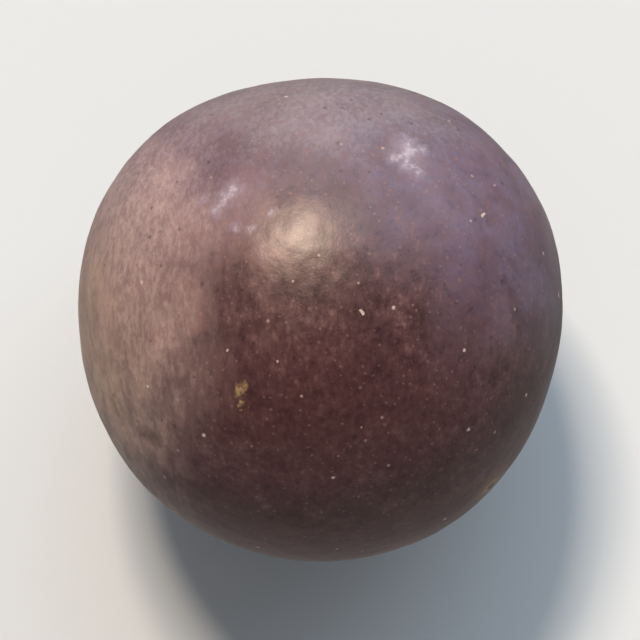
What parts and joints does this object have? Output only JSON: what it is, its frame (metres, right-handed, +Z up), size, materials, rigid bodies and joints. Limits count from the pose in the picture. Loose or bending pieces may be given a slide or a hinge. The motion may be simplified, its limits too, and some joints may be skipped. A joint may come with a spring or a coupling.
{
  "type": "passion fruit",
  "caption": "Ripe purple passion fruit: a round, faintly lobed fruit with a satin mottled skin, a short stub of stem and a small flat spot to rest on.",
  "frame": {"origin": "on the surface the fruit rests on, under the middle of its outline seen from above", "axes": "+Z up, away from the resting surface; the stem end faces -X and +Y, a little below level, and the blossom end faces +X and -Y, a little above level"},
  "size_m": [0.0512, 0.051, 0.0497],
  "materials": {
    "skin": "satin"
  },
  "bodies": {
    "root": {"passion_fruit": "skin"}
  },
  "joints": []
}
